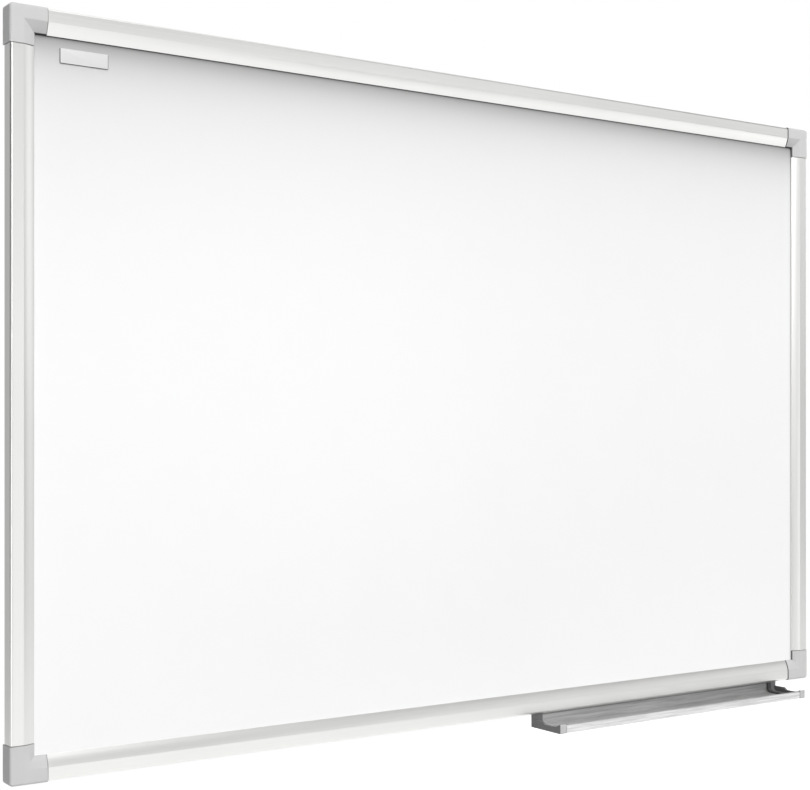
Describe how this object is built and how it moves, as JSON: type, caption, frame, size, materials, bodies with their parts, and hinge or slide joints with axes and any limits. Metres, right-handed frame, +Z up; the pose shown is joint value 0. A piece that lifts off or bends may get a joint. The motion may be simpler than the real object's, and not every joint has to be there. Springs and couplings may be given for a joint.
{
  "type": "magnetic whiteboard",
  "caption": "Wall-mounted magnetic whiteboard: white lacquered steel panel in an aluminium frame with moulded corners, and a pen tray that slides along the bottom rail.",
  "frame": {"origin": "centre of the frame's outer rectangle, on the wall plane", "axes": "+X to the right along the board seen from the front, +Y into the wall, +Z up; the writing face looks along -Y"},
  "size_m": [0.9012, 0.0443, 0.6156],
  "materials": {
    "white_lacquer": "gloss",
    "fibre_board": "matte",
    "galvanised_steel": "satin",
    "anodised_aluminium": "satin",
    "tray_aluminium": "brushed",
    "corner_plastic": "satin",
    "cap_plastic": "satin",
    "zinc_steel": "zinc plated"
  },
  "bodies": {
    "board": {"writing_sheet": "white_lacquer", "core_board": "fibre_board", "back_sheet": "galvanised_steel", "rail_top": "anodised_aluminium", "rail_bottom": "anodised_aluminium", "rail_left": "anodised_aluminium", "rail_right": "anodised_aluminium", "corner_top_left": "corner_plastic", "corner_top_right": "corner_plastic", "corner_bottom_left": "corner_plastic", "corner_bottom_right": "corner_plastic", "screw_top_rail_left": "zinc_steel", "screw_top_rail_right": "zinc_steel", "screw_bottom_rail_left": "zinc_steel", "screw_bottom_rail_right": "zinc_steel", "screw_left_rail_top": "zinc_steel", "screw_left_rail_bottom": "zinc_steel", "screw_right_rail_top": "zinc_steel", "screw_right_rail_bottom": "zinc_steel"},
    "tray": {"tray_profile": "tray_aluminium", "tray_end_cap_left": "cap_plastic", "tray_end_cap_right": "cap_plastic"}
  },
  "joints": [
    {"name": "tray_slide", "type": "slide", "parent": "board", "child": "tray", "axis": [1, 0, 0], "range_m": [-0.5, 0.0145]}
  ]
}
